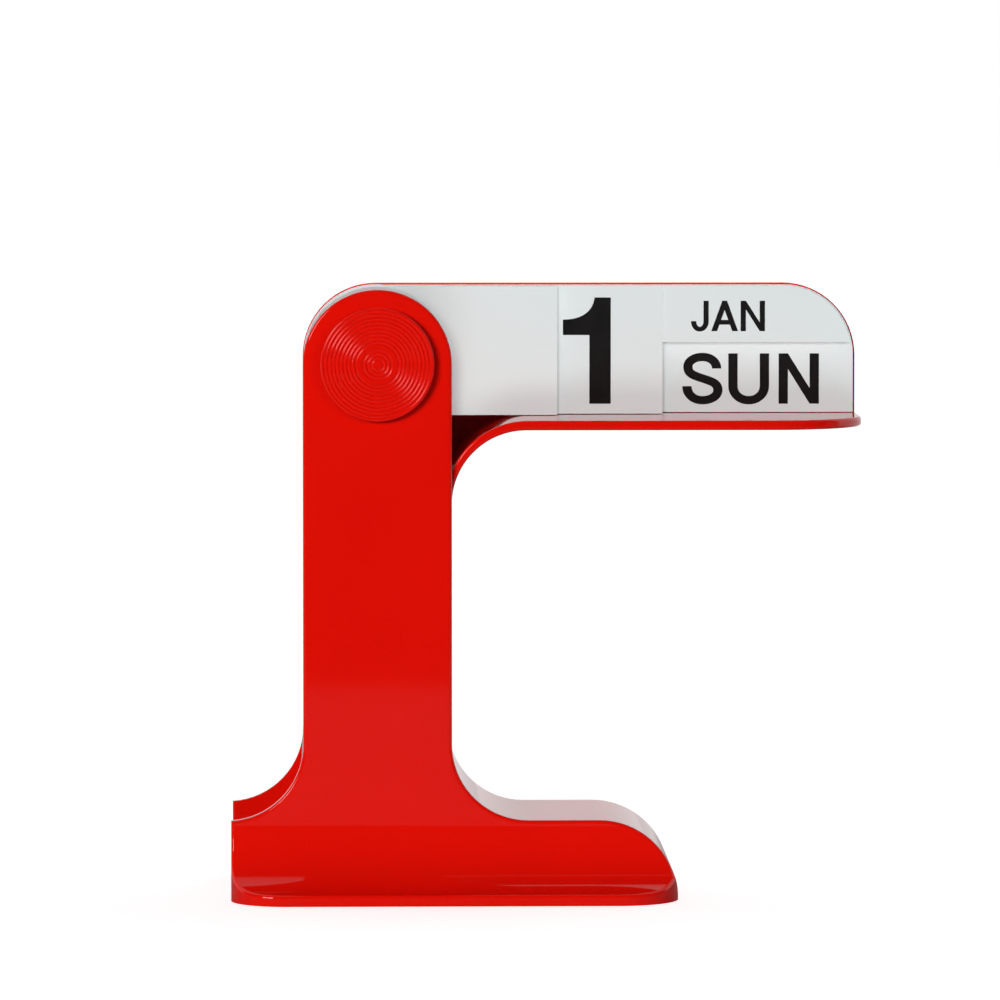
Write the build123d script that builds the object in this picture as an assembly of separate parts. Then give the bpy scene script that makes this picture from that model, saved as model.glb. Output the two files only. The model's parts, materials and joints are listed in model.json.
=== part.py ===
from build123d import *

import os
from math import acos, asin, atan2, cos, degrees, hypot, radians, sin, sqrt

# Perpetual desk calendar: a hollow two-shell stand with a shelf arm, a pivot with a ridged disc at
# each end, and four sets of flat cards that hang in the column and swing up and over onto the shelf.
# Millimetres. Everything is drawn about the pivot axis (X = 0, Z = 0), and moved at the end so that
# the origin is the bottom centre of the whole object. The front is -Y and the arm points along +X.

# Stand: overall places, measured from the pivot axis
pivot_height = 144.0
foot_left_reach = 39.4
foot_right_reach = 80.8
arm_reach = 131.7
body_depth = 55.0

# Stand: walls and bends
panel_wall = 2.5
column_half_width = 20.0
shelf_drop = 15.3
shelf_thickness = 2.6
column_wall = 1.8
base_wall = 2.2
arm_bend_radius = 20.0
arm_corner_radius = 20.0
shelf_plan_radius = 25.0
base_height = 21.2
base_left_radius = 20.6
base_right_radius = 20.6
panel_edge_round = 0.9
shelf_edge_round = 0.75

# Foot: the panels curve outwards at the bottom like a skirt and end in a low lip. The curve starts
# at the shoulder, just below the base top, and its round plan corners a little way out from the panel.
foot_shoulder = 1.2
foot_lip_height = 3.0
foot_rim_width = 4.4
foot_left_corner_start = 2.0
foot_right_corner_start = 0.5

# Pivot
pin_radius = 4.0
running_clearance = 0.1
spigot_radius = 2.5
spigot_length = 2.0
spigot_clearance = 0.03
disc_radius = 15.25
disc_thickness = 3.0
disc_gap = 0.25
disc_rim_round = 0.5
groove_width = 0.9
groove_depth = 0.22
inner_groove_start = 1.6
inner_groove_pitch = 1.1
inner_groove_count = 3
outer_groove_start = 5.83
outer_groove_pitch = 1.04
rear_sleeve_length = 4.5
sleeve_wall = 3.0
sleeve_end_gap = 0.2

# Cards
card_thickness = 0.45
card_gap = 0.15
card_top = 19.8
card_rest_gap = 0.15
card_corner_radius = 19.0
card_edge_gap = 0.15
tens_reach = 49.2
units_reach = 78.1
month_reach = 129.8
month_step_height = 4.3
month_step_cover = 2.0
weekday_reach = 130.6

# Card names in stacking order, front to back. The shown one of each set lies on the shelf.
tens_names = ["tens_3", "tens_2", "tens_1", "tens_blank"]
units_names = [f"units_{digit}" for digit in (0, 9, 8, 7, 6, 5, 4, 3, 2, 1)]
months = ("jan", "feb", "mar", "apr", "may", "jun", "jul", "aug", "sep", "oct", "nov", "dec")
month_names = [f"month_{month}" for month in months]
weekdays = ("sun", "mon", "tue", "wed", "thu", "fri", "sat")
weekday_names = [f"weekday_{weekday}" for weekday in weekdays]
shown_cards = ["tens_blank", "units_1", "month_jan", "weekday_sun"]

# Places worked out from the sizes above
floor_z = -pivot_height
outer_face = body_depth / 2
inner_face = outer_face - panel_wall
shelf_top = -shelf_drop
shelf_underside = shelf_top - shelf_thickness
wall_inner_x = column_half_width - column_wall
base_top = floor_z + base_height
inner_bend_radius = arm_bend_radius + (column_wall + shelf_thickness) / 2
inner_foot_radius = base_right_radius + (column_wall + base_wall) / 2
foot_flare = base_height - foot_shoulder - foot_lip_height
foot_left_plan_radius = foot_flare - foot_left_corner_start
foot_right_plan_radius = foot_flare - foot_right_corner_start
flare_top = base_top - foot_shoulder
lip_face = outer_face + foot_flare
card_bottom = shelf_top + card_rest_gap
disc_face_radius = disc_radius - disc_rim_round
outer_groove_room = disc_face_radius - groove_width / 2 - outer_groove_start
outer_groove_count = int(outer_groove_room / outer_groove_pitch) + 1
bore_radius = pin_radius + running_clearance
sleeve_radius = bore_radius + sleeve_wall
row_origin_x = (arm_reach - foot_left_reach) / 2
to_row_frame = Location((-row_origin_x, 0, pivot_height))

# Cutting bodies run this far past what they cut
cut_overshoot = 1.0

# Two places closer than this are the same place, when edges are picked by where they lie
edge_tolerance = 0.01


def line(start, end):
    """Straight edge between two (x, z) points in the plane Y = 0."""
    return Edge.make_line((start[0], 0, start[1]), (end[0], 0, end[1]))


def arc(centre, radius, from_deg, to_deg):
    """Circular edge in the plane Y = 0, by centre (x, z) and angles from +X towards +Z."""
    points = []
    for angle in (from_deg, (from_deg + to_deg) / 2, to_deg):
        points.append((centre[0] + radius * cos(radians(angle)), 0, centre[1] + radius * sin(radians(angle))))
    return Edge.make_three_point_arc(*points)


def prism(edges, y_from, y_to):
    """Solid between two Y planes with the closed outline given by the edges."""
    face = Face(Wire(edges)).moved(Location((0, y_from, 0)))
    return Solid.extrude(face, Vector(0, y_to - y_from, 0))


def cylinder_y(radius, y_from, y_to, centre=(0, 0)):
    """Solid cylinder along Y about the given (x, z) centre."""
    plane = Plane(origin=(centre[0], y_from, centre[1]), z_dir=(0, 1, 0))
    return Solid.make_cylinder(radius, y_to - y_from, plane)


def pin_bore(y_from, y_to):
    """Cutter for the running hole round the pin, through what lies between two Y planes."""
    return cylinder_y(bore_radius, y_from - cut_overshoot, y_to + cut_overshoot)


def right_side(column_x, shelf_z, bend_radius, base_z, foot_radius, end_radius):
    """Edges from the floor at the right end, over the base and up the column, into the shelf bend."""
    end_centre = (foot_right_reach - base_height, floor_z)
    foot_centre = (column_x + foot_radius, base_z + foot_radius)
    bend_centre = (column_x + bend_radius, shelf_z - bend_radius)
    return [
        arc(end_centre, end_radius, 0, 90),
        line((end_centre[0], base_z), (foot_centre[0], base_z)),
        arc(foot_centre, foot_radius, 270, 180),
        line((column_x, foot_centre[1]), (column_x, bend_centre[1])),
        arc(bend_centre, bend_radius, 180, 90),
    ]


def outer_right_side():
    """The side line that both panels and the outside of the wall strip follow."""
    return right_side(
        column_half_width, shelf_underside, arm_bend_radius, base_top, base_right_radius, base_height
    )


def inner_right_side():
    """The inside of the wall strip. Its wall eases from the shelf to the column and to the base."""
    return right_side(
        wall_inner_x, shelf_top, inner_bend_radius, base_top - base_wall, inner_foot_radius, base_height - base_wall
    )


def left_side():
    """Edges down the open left side, from the head to the floor."""
    centre = (-column_half_width - base_left_radius, base_top + base_left_radius)
    cut = -degrees(acos((-foot_left_reach - centre[0]) / base_left_radius))
    end_z = centre[1] + base_left_radius * sin(radians(cut))
    return [
        line((-column_half_width, 0), (-column_half_width, centre[1])),
        arc(centre, base_left_radius, 0, cut),
        line((-foot_left_reach, end_z), (-foot_left_reach, floor_z)),
        line((-foot_left_reach, floor_z), (foot_right_reach, floor_z)),
    ]


def front_outline():
    """Column and base, with a round head and no arm."""
    side = outer_right_side()[:3]
    foot_z = base_top + base_right_radius
    column = line((column_half_width, foot_z), (column_half_width, 0))
    return side + [column, arc((0, 0), column_half_width, 0, 180)] + left_side()


def rear_outline():
    """Column, base and the whole arm with its round far corner."""
    bend_x = column_half_width + arm_bend_radius
    corner = (arm_reach - arm_corner_radius, column_half_width - arm_corner_radius)
    arm = [
        line((bend_x, shelf_underside), (arm_reach, shelf_underside)),
        line((arm_reach, shelf_underside), (arm_reach, corner[1])),
        arc(corner, arm_corner_radius, 0, 90),
        line((corner[0], column_half_width), (0, column_half_width)),
        arc((0, 0), column_half_width, 90, 180),
    ]
    return outer_right_side() + arm + left_side()


def wall_strip_outline():
    """Closed band of wall: shelf, bend, column side, base top and rounded base end."""
    end_x = foot_right_reach - base_height
    outer_bend_x = column_half_width + arm_bend_radius
    inner_bend_x = wall_inner_x + inner_bend_radius
    closing = [
        line((outer_bend_x, shelf_underside), (arm_reach, shelf_underside)),
        line((arm_reach, shelf_underside), (arm_reach, shelf_top)),
        line((arm_reach, shelf_top), (inner_bend_x, shelf_top)),
        line((end_x + base_height - base_wall, floor_z), (end_x + base_height, floor_z)),
    ]
    return outer_right_side() + inner_right_side() + closing


def foot_plan_block(inset, side):
    """Plan of one half of the foot with round outer corners, as a block from the floor up.

    inset moves every side inwards by a wall. side is -1 for the front and 1 for the back.
    """
    left_turn = (-foot_left_reach + foot_left_plan_radius, lip_face - foot_left_plan_radius)
    right_turn = (foot_right_reach - foot_right_plan_radius, lip_face - foot_right_plan_radius)
    left_x = -foot_left_reach + inset
    right_x = foot_right_reach - inset
    plan = [
        line((left_x, 0), (right_x, 0)),
        line((right_x, 0), (right_x, right_turn[1])),
        arc(right_turn, foot_right_plan_radius - inset, 0, 90),
        line((right_turn[0], lip_face - inset), (left_turn[0], lip_face - inset)),
        arc(left_turn, foot_left_plan_radius - inset, 90, 180),
        line((left_x, left_turn[1]), (left_x, 0)),
    ]
    face = Face(Wire(plan)).rotate(Axis.X, -90 * side).moved(Location((0, 0, floor_z)))
    return Solid.extrude(face, Vector(0, 0, flare_top - floor_z))


def foot_end_block(inset):
    """Side view of the base with its round right end, as a block right through the foot."""
    centre = (foot_right_reach - base_height, floor_z)
    radius = base_height - inset
    outline = [
        arc(centre, radius, 0, 90),
        line((centre[0], floor_z + radius), (-foot_left_reach, floor_z + radius)),
        line((-foot_left_reach, floor_z + radius), (-foot_left_reach, floor_z)),
        line((-foot_left_reach, floor_z), (centre[0] + radius, floor_z)),
    ]
    return prism(outline, -lip_face, lip_face)


def foot_section_block(section, side):
    """Block along X with a cross-section given as (distance outwards, z) edges."""
    face = Face(Wire(section)).rotate(Axis.Z, 90 * side).moved(Location((-foot_left_reach, 0, 0)))
    return Solid.extrude(face, Vector(foot_left_reach + foot_right_reach, 0, 0))


def foot_skirt(side):
    """Hollow skirt that turns the bottom of a panel outwards. side is -1 for the front, 1 for the back."""
    lip_top = floor_z + foot_lip_height
    outer_section = [
        line((inner_face, flare_top), (outer_face, flare_top)),
        arc((lip_face, flare_top), foot_flare, 180, 270),
        line((lip_face, lip_top), (lip_face, floor_z)),
        line((lip_face, floor_z), (inner_face, floor_z)),
        line((inner_face, floor_z), (inner_face, flare_top)),
    ]
    under_radius = foot_flare + panel_wall
    under_z = floor_z + sqrt(under_radius**2 - foot_rim_width**2)
    under_start = degrees(asin((under_z - floor_z) / under_radius))
    hollow_section = [
        line((0, under_z), (inner_face, under_z)),
        arc((lip_face, under_z), under_radius, 180, 180 + under_start),
        line((lip_face - foot_rim_width, floor_z), (0, floor_z)),
        line((0, floor_z), (0, under_z)),
    ]
    skirt = foot_section_block(outer_section, side) & foot_plan_block(0, side) & foot_end_block(0)
    hollow = foot_section_block(hollow_section, side) & foot_plan_block(base_wall, side)
    return skirt - (hollow & foot_end_block(base_wall))


def panel_plate(outline, y_from, y_to):
    """Flat part of a panel, from the skirt up."""
    skirt_zone = Solid.make_box(foot_left_reach + foot_right_reach, body_depth, flare_top - floor_z)
    return prism(outline, y_from, y_to) - skirt_zone.moved(Location((-foot_left_reach, -outer_face, floor_z)))


def rim_edges(shell, side):
    """Edges round the outside of a panel and its skirt, from lip corner to lip corner over the head."""
    rim = []
    for edge in shell.edges():
        box = edge.bounding_box()
        nearest = min(side * box.min.Y, side * box.max.Y)
        farthest = max(side * box.min.Y, side * box.max.Y)
        on_outside = nearest > outer_face - edge_tolerance
        on_floor = box.min.Z < floor_z + edge_tolerance
        on_panel = farthest < outer_face + edge_tolerance
        is_bore = on_panel and edge.geom_type == GeomType.CIRCLE and abs(edge.radius - bore_radius) < edge_tolerance
        is_skirt_line = on_panel and abs(box.min.Z - flare_top) + abs(box.max.Z - flare_top) < edge_tolerance
        if on_outside and not (on_floor or is_bore or is_skirt_line):
            rim.append(edge)
    return rim


def front_shell():
    """Front panel with its half of the foot."""
    plate = panel_plate(front_outline(), -outer_face, -inner_face)
    shell = plate + foot_skirt(-1)
    shell = shell.fillet(panel_edge_round, rim_edges(shell, -1))
    return shell - pin_bore(-outer_face, -inner_face)


def wall_strip():
    """Shelf, bend, column side and base as one band of wall. The free edges of shelf and bend are round."""
    strip = prism(wall_strip_outline(), -inner_face, inner_face)
    bend_z = shelf_underside - arm_bend_radius
    upper_box = Solid.make_box(2 * arm_reach, body_depth, pivot_height)
    upper_box = upper_box.moved(Location((-arm_reach, -outer_face, bend_z)))
    lower = strip - upper_box
    shelf = strip & upper_box
    corner = [edge for edge in shelf.edges().filter_by(Axis.Z) if lies_at(edge, arm_reach, -inner_face)]
    shelf = shelf.fillet(shelf_plan_radius, corner)
    free = []
    for edge in shelf.edges():
        box = edge.bounding_box()
        along_front = box.max.Y < -inner_face + shelf_plan_radius + edge_tolerance
        along_end = box.min.X > arm_reach - edge_tolerance
        is_level = box.max.Z - box.min.Z < edge_tolerance
        at_cut = box.min.Z < bend_z + edge_tolerance and is_level
        is_bend = along_front and edge.geom_type == GeomType.CIRCLE
        at_back = box.min.Y > inner_face - edge_tolerance
        if not (at_cut or at_back) and (is_bend or (is_level and (along_front or along_end))):
            free.append(edge)
    return lower + shelf.fillet(shelf_edge_round, free)


def lies_at(edge, x, y):
    """Whether an upright edge stands at the given place in plan."""
    return abs(edge.center().X - x) + abs(edge.center().Y - y) < edge_tolerance


def rear_shell():
    """Back panel with the arm, the shelf and wall strip, and its half of the foot."""
    plate = panel_plate(rear_outline(), inner_face, outer_face)
    shell = plate + foot_skirt(1)
    shell = shell.fillet(panel_edge_round, rim_edges(shell, 1))
    return shell - pin_bore(inner_face, outer_face) + wall_strip()


def pivot_pin():
    """Steel pin through both panels, with a thinner spigot at each end for its disc."""
    shoulder = outer_face + disc_gap
    pin = cylinder_y(pin_radius, -shoulder, shoulder)
    for side in (-1, 1):
        start = min(side * shoulder, side * (shoulder + spigot_length))
        pin += cylinder_y(spigot_radius, start, start + spigot_length)
    return pin


def groove_radii():
    """Centre radii of the ring grooves in the face of a disc, from the middle outwards."""
    inner = [inner_groove_start + inner_groove_pitch * k for k in range(inner_groove_count)]
    outer = [outer_groove_start + outer_groove_pitch * k for k in range(outer_groove_count)]
    return inner + outer


def groove(radius):
    """Round-bottomed groove in the profile of a disc's face, from its outer edge to its inner edge."""
    bottom_radius = (groove_width**2 / 4 + groove_depth**2) / (2 * groove_depth)
    half_angle = degrees(asin(groove_width / 2 / bottom_radius))
    centre = (radius, disc_thickness + bottom_radius - groove_depth)
    return arc(centre, bottom_radius, 270 + half_angle, 270 - half_angle)


def pivot_disc(side):
    """Ridged disc on the pin's end, turned from one profile. side is -1 for the front."""
    socket_radius = spigot_radius + spigot_clearance
    socket_depth = spigot_length + spigot_clearance
    shoulder = disc_thickness - disc_rim_round
    corners = [(0, socket_depth), (socket_radius, socket_depth), (socket_radius, 0), (disc_radius, 0)]
    corners.append((disc_radius, shoulder))
    edges = [line(start, end) for start, end in zip(corners, corners[1:])]
    edges.append(arc((disc_face_radius, shoulder), disc_rim_round, 0, 90))
    land_start = (disc_face_radius, disc_thickness)
    for radius in reversed(groove_radii()):
        edges += [line(land_start, (radius + groove_width / 2, disc_thickness)), groove(radius)]
        land_start = (radius - groove_width / 2, disc_thickness)
    edges.append(line(land_start, (0, disc_thickness)))
    edges.append(line((0, disc_thickness), (0, socket_depth)))
    disc = Solid.revolve(Face(Wire(edges)), 360, Axis.Z)
    return disc.rotate(Axis.X, -90 * side).moved(Location((0, side * (outer_face + disc_gap), 0)))


def sleeve(y_from, y_to):
    """Plain tube on the pin that keeps the cards in their place along it."""
    return cylinder_y(sleeve_radius, y_from, y_to) - pin_bore(y_from, y_to)


def card(reach, corner_radius, step_x, y_from):
    """One flat card lying along +X, as it shows on the shelf.

    It has a round head about the pivot and a straight blade, whose far upper corner is round where
    corner_radius isn't 0. Where step_x isn't None, only the upper strip goes on past it.
    """
    neck_angle = degrees(asin(card_bottom / card_top))
    neck = (card_top * cos(radians(neck_angle)), card_bottom)
    corner_x = reach - corner_radius
    corner_z = card_top - corner_radius
    outline = [
        arc((0, 0), card_top, 90, 360 + neck_angle),
        line(neck, (reach, card_bottom)),
        line((reach, card_bottom), (reach, corner_z)),
        line((corner_x, card_top), (0, card_top)),
    ]
    if corner_radius:
        outline.append(arc((corner_x, corner_z), corner_radius, 0, 90))
    blade = prism(outline, y_from, y_from + card_thickness) - pin_bore(y_from, y_from + card_thickness)
    if step_x is not None:
        cutter = Solid.make_box(reach, card_thickness + 2 * cut_overshoot, month_step_height - shelf_top)
        blade -= cutter.moved(Location((step_x, y_from - cut_overshoot, shelf_top)))
    return blade


def wall_lean():
    """Lean, in degrees past straight down, at which a card's straight edge meets the column wall."""
    bend_x = wall_inner_x + inner_bend_radius
    bend_z = shelf_top - inner_bend_radius
    reach = card_top + inner_bend_radius + card_edge_gap
    return degrees(atan2(-bend_z, bend_x)) - degrees(acos(reach / hypot(bend_x, bend_z)))


def stored_lean(blade, is_stepped):
    """Lean of a stored card: it hangs with its centre of mass under the pivot, or against the wall.

    A stepped card would hang out past the column's open side, so it is stored against the wall.
    """
    if is_stepped:
        return wall_lean()
    centre = blade.center(CenterOf.MASS)
    return max(wall_lean(), degrees(atan2(centre.Z, centre.X)))


card_sets = [
    (tens_names, tens_reach, 0, None),
    (units_names, units_reach, 0, None),
    (month_names, month_reach, card_corner_radius, units_reach - month_step_cover),
    (weekday_names, weekday_reach, card_corner_radius, None),
]
card_count = sum(len(card_set[0]) for card_set in card_sets)
card_pitch = card_thickness + card_gap
stack_rear = inner_face - sleeve_end_gap - rear_sleeve_length - card_gap
stack_front = stack_rear - card_count * card_pitch + card_gap

nodes = {
    "front_shell": front_shell(),
    "rear_shell": rear_shell(),
    "pivot_pin": pivot_pin(),
    "front_disc": pivot_disc(-1),
    "rear_disc": pivot_disc(1),
    "front_sleeve": sleeve(-inner_face + sleeve_end_gap, stack_front - card_gap),
    "rear_sleeve": sleeve(stack_rear + card_gap, inner_face - sleeve_end_gap),
}
print(f"wall lean {wall_lean():.3f} deg")
place = 0
for names, reach, corner_radius, step_x in card_sets:
    for name in names:
        blade = card(reach, corner_radius, step_x, stack_front + place * card_pitch)
        if name not in shown_cards:
            lean = stored_lean(blade, step_x is not None)
            blade = blade.rotate(Axis.Y, lean - 270)
        nodes[f"card_{name}"] = blade
        place += 1
    print(f"{names[0]} and its set: stored lean {lean:.3f} deg")

os.makedirs("parts", exist_ok=True)
for name, shape in nodes.items():
    export_step(to_row_frame * shape, f"parts/{name}.step")
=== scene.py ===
"""Perpetual desk calendar: finishes, printed lettering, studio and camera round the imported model.

The front is -Y, the shelf arm points along +X and the foot stands on Z = 0. Lengths are in metres.
"""

import json
import logging
import math
from collections.abc import Mapping, Sequence
from dataclasses import dataclass, field
from enum import Enum

import bmesh
import bpy
import numpy as np
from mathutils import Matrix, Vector


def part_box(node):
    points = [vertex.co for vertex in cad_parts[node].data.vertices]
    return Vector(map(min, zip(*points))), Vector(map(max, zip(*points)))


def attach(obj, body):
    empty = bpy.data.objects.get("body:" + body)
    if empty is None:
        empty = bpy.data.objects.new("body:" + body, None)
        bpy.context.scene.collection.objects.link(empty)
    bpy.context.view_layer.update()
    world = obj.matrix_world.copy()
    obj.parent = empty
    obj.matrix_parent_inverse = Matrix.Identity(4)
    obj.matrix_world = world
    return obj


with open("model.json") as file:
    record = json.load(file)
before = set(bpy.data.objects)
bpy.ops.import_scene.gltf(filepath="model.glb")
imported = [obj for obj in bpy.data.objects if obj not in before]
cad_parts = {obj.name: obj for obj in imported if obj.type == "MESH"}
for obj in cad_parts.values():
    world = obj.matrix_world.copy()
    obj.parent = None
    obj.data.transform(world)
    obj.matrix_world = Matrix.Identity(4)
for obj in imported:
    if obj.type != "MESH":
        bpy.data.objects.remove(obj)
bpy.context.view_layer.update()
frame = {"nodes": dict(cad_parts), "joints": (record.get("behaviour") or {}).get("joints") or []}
LOG = logging.getLogger("calendar")

MM = 0.001
PIVOT = Vector(frame["joints"][0]["pos_m"])  # where all joints turn
Array = np.ndarray
Colour = tuple[float, float, float]
Triple = tuple[float, float, float]
Span = tuple[float, float]
Material = bpy.types.Material
Pieces = Sequence[bpy.types.Object]
BLACK: Colour = (0.0, 0.0, 0.0)
WHITE: Colour = (1.0, 1.0, 1.0)


# Shader building


@dataclass(frozen=True)
class Signal:
    """One value, colour or vector on its way through the nodes. It can be added and multiplied."""

    bench: "Bench"  # the bench that its nodes stand on
    socket: bpy.types.NodeSocket | None  # the output socket that carries it, if there is one

    def _join(self, operation: str, first: object, second: object) -> "Signal":
        """Adds one Math node for two operands."""
        return self.bench.make("ShaderNodeMath", {"operation": operation}, {0: first, 1: second})

    def __add__(self, other: object) -> "Signal":
        """Sum."""
        return self._join("ADD", self, other)

    def __radd__(self, other: object) -> "Signal":
        """Sum with the number first."""
        return self._join("ADD", other, self)

    def __mul__(self, other: object) -> "Signal":
        """Product."""
        return self._join("MULTIPLY", self, other)

    def __rmul__(self, other: object) -> "Signal":
        """Product with the number first."""
        return self._join("MULTIPLY", other, self)


class Bench:
    """The nodes of one material or world, all made through a single method."""

    def __init__(self, owner: Material | bpy.types.World) -> None:
        """Clears the nodes.

        Args:
            owner: the material or world that the nodes belong to.
        """
        self.owner = owner
        owner.use_nodes = True
        self.tree = owner.node_tree
        self.tree.nodes.clear()

    def make(
        self,
        kind: str,
        settings: Mapping[str, object] | None = None,
        inputs: Mapping[str | int, object] | None = None,
        output: str | int = 0,
    ) -> Signal:
        """Adds one node.

        Args:
            kind: the node's type.
            settings: properties that are set first. "stops" holds a ramp's (place, grey) pairs.
            inputs: what goes into each socket, by name or number: a Signal or a plain value.
            output: the socket that the result is read from, where the node has any.

        Returns:
            The chosen output as a Signal.
        """
        node = self.tree.nodes.new(kind)
        for key, value in (settings or {}).items():
            if key == "stops":
                for element, (place, grey) in zip(node.color_ramp.elements, value):
                    element.position = place
                    element.color = (grey, grey, grey, 1.0)
            else:
                setattr(node, key, value)
        for key, value in (inputs or {}).items():
            if isinstance(value, Signal):
                self.tree.links.new(value.socket, node.inputs[key])
            else:
                node.inputs[key].default_value = value
        return Signal(self, node.outputs[output] if node.outputs else None)

    def place(self) -> Signal:
        """Object coordinates, in metres."""
        return self.make("ShaderNodeTexCoord", output="Object")

    def seen(self) -> Signal:
        """1 for what the camera looks at and 0 for every other ray."""
        return self.make("ShaderNodeLightPath", output="Is Camera Ray")

    def axis(self, vector: Signal, letter: str) -> Signal:
        """One of a vector's X, Y and Z."""
        return self.make("ShaderNodeSeparateXYZ", {}, {0: vector}, letter)

    def stretched(self, where: Signal, scale: Triple, turn: Triple = (0.0, 0.0, 0.0)) -> Signal:
        """Coordinates scaled per axis, then turned.

        Args:
            where: the coordinates.
            scale: factor per axis.
            turn: rotation in radians per axis.

        Returns:
            The new coordinates.
        """
        inputs = {"Vector": where, "Rotation": turn, "Scale": scale}
        return self.make("ShaderNodeMapping", {}, inputs)

    def noise(self, where: Signal, scale: float, octaves: float, roughness: float = 0.5) -> Signal:
        """Fractal noise between 0 and 1.

        Args:
            where: the coordinates.
            scale: features per metre.
            octaves: how many finer layers are added.
            roughness: weight of the fine layers.

        Returns:
            The noise value.
        """
        inputs = {"Vector": where, "Scale": scale, "Detail": octaves, "Roughness": roughness}
        return self.make("ShaderNodeTexNoise", {}, inputs, "Fac")

    def threshold(self, value: Signal, start: float, full: float) -> Signal:
        """0 up to one value and 1 from another, with a slope between them."""
        stops = [(start, 0.0), (full, 1.0)]
        return self.make("ShaderNodeValToRGB", {"stops": stops}, {"Fac": value})

    def carried(self, value: Signal, source: Span, target: Span, smooth: bool = False) -> Signal:
        """Value carried from one range to another and held at its ends.

        Args:
            value: what is carried.
            source: where the range starts and ends.
            target: what comes out at its start and end.
            smooth: whether the slope eases in and out.

        Returns:
            The new value.
        """
        style = "SMOOTHSTEP" if smooth else "LINEAR"
        ends = zip(("From Min", "From Max", "To Min", "To Max"), (*source, *target))
        inputs = {"Value": value, **dict(ends)}
        return self.make("ShaderNodeMapRange", {"interpolation_type": style}, inputs)

    def blend(self, amount: Signal, low: object, high: object) -> Signal:
        """Colour between two colours.

        Args:
            amount: 0 gives low and 1 gives high.
            low: colour or Signal.
            high: colour or Signal.

        Returns:
            The mixed colour.
        """
        ends = [end if isinstance(end, Signal) else (*end, 1.0) for end in (low, high)]
        inputs = {0: amount, 6: ends[0], 7: ends[1]}
        return self.make("ShaderNodeMix", {"data_type": "RGBA"}, inputs, 2)

    def shaded(self, amount: Signal, colour: Colour, shares: Span) -> Signal:
        """Colour that wanders between two shares of itself.

        Args:
            amount: 0 gives the first share and 1 the second.
            colour: the colour.
            shares: the two factors on it.

        Returns:
            The colour.
        """
        low, high = (tuple(share * part for part in colour) for share in shares)
        return self.blend(amount, low, high)

    def bump(self, height: Signal, depth: float, strength: float) -> Signal:
        """Normal from a height.

        Args:
            height: the height value.
            depth: height in metres of a full step.
            strength: how much of it shows.

        Returns:
            The bent normal.
        """
        inputs = {"Height": height, "Distance": depth, "Strength": strength}
        return self.make("ShaderNodeBump", {}, inputs, "Normal")

    def finish(self, inputs: Mapping[str | int, object]) -> Material:
        """Closes the material with a Principled shader.

        Args:
            inputs: what goes into the shader's sockets.

        Returns:
            The finished material.
        """
        shader = self.make("ShaderNodeBsdfPrincipled", {}, inputs, "BSDF")
        self.make("ShaderNodeOutputMaterial", {}, {"Surface": shader})
        return self.owner


# Finishes


@dataclass(frozen=True)
class Relief:
    """Fine bumps on a surface."""

    scale: float  # bumps per metre
    height: float  # height of a bump
    strength: float  # how much of it shows

    def normal(self, bench: Bench, where: Signal) -> Signal:
        """Normal of the bumpy surface."""
        bumps = bench.noise(where, self.scale, octaves=2.0)
        return bench.bump(bumps, self.height, self.strength)


@dataclass(frozen=True)
class MouldedGloss:
    """Glossy moulded plastic: deep even colour, faint orange peel and a few wipe marks."""

    name: str  # the material's name
    gloss: float = 0.05  # roughness of the clean surface
    colour: Colour = (0.72, 0.0046, 0.0012)  # colour of the plastic
    shares: Span = (0.93, 1.05)  # least and most of the colour in its faint clouds
    cloud_scale: float = 22.0  # clouds per metre
    wipe_scale: Triple = (9.0, 60.0, 140.0)  # wipe marks per metre along each axis
    wipe_turn: Triple = (0.0, 0.5, 0.0)  # slant of the wipes, in radians
    wipe_range: Span = (0.55, 0.85)  # noise at which a wipe starts and is full
    wipe_rough: float = 0.05  # roughness that a wipe adds
    speck_scale: float = 1500.0  # specks per metre
    speck_range: Span = (0.70, 0.80)  # noise at which a speck starts and is full
    speck_rough: float = 0.06  # roughness that a speck adds
    peel: Relief = Relief(420.0, 0.008 * MM, 0.2)  # orange peel
    ior: float = 1.5  # index of refraction

    def material(self) -> Material:
        """Builds the material.

        Returns:
            The material.
        """
        bench = Bench(bpy.data.materials.new(self.name))
        where = bench.place()
        clouds = bench.noise(where, self.cloud_scale, octaves=3.0)
        tone = bench.shaded(clouds, self.colour, self.shares)
        streaks = bench.stretched(where, self.wipe_scale, self.wipe_turn)
        smears = bench.noise(streaks, 1.0, octaves=4.0, roughness=0.6)
        wipes = bench.threshold(smears, *self.wipe_range)
        grains = bench.noise(where, self.speck_scale, octaves=1.0)
        specks = bench.threshold(grains, *self.speck_range)
        rough = self.gloss + wipes * self.wipe_rough + specks * self.speck_rough
        normal = self.peel.normal(bench, where)
        inputs = {"Base Color": tone, "Roughness": rough, "Normal": normal, "IOR": self.ior}
        return bench.finish(inputs)


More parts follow.
